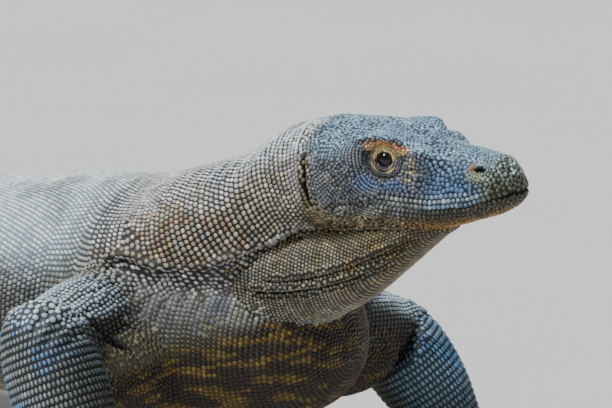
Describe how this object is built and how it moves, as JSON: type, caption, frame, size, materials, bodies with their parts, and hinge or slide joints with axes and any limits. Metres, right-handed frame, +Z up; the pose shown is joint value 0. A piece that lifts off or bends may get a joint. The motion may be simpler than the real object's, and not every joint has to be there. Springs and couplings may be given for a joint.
{
  "type": "komodo dragon",
  "caption": "Life-size adult Komodo dragon standing in mid-stride, head level, mouth shut, long tail trailing on the ground.",
  "frame": {"origin": "centre of the bounding box, on the ground", "axes": "+Y towards the tail tip, so the animal faces -Y; +X towards its left side; +Z up"},
  "size_m": [0.7248, 2.536, 0.4405],
  "materials": {
    "skin": "dry beaded scales, blue-grey on top, olive and tan below",
    "eyes": "wet gloss, dark brown iris and black pupil",
    "claws": "worn dark horn"
  },
  "bodies": {
    "root": {"chest": "skin", "eye_left": "eyes", "eye_right": "eyes", "foot_claw_left_1": "claws", "foot_claw_left_2": "claws", "foot_claw_left_3": "claws", "foot_claw_left_4": "claws", "foot_claw_left_5": "claws", "foot_claw_right_1": "claws", "foot_claw_right_2": "claws", "foot_claw_right_3": "claws", "foot_claw_right_4": "claws", "foot_claw_right_5": "claws", "foot_left": "skin", "foot_right": "skin", "forearm_left": "skin", "forearm_right": "skin", "hand_claw_left_1": "claws", "hand_claw_left_2": "claws", "hand_claw_left_3": "claws", "hand_claw_left_4": "claws", "hand_claw_left_5": "claws", "hand_claw_right_1": "claws", "hand_claw_right_2": "claws", "hand_claw_right_3": "claws", "hand_claw_right_4": "claws", "hand_claw_right_5": "claws", "hand_left": "skin", "hand_right": "skin", "head": "skin", "lower_jaw": "skin", "neck": "skin", "pelvis": "skin", "shin_left": "skin", "shin_right": "skin", "tail_1": "skin", "tail_2": "skin", "tail_3": "skin", "tail_4": "skin", "thigh_left": "skin", "thigh_right": "skin", "throat": "skin", "trunk": "skin", "upper_arm_left": "skin", "upper_arm_right": "skin"}
  },
  "joints": []
}
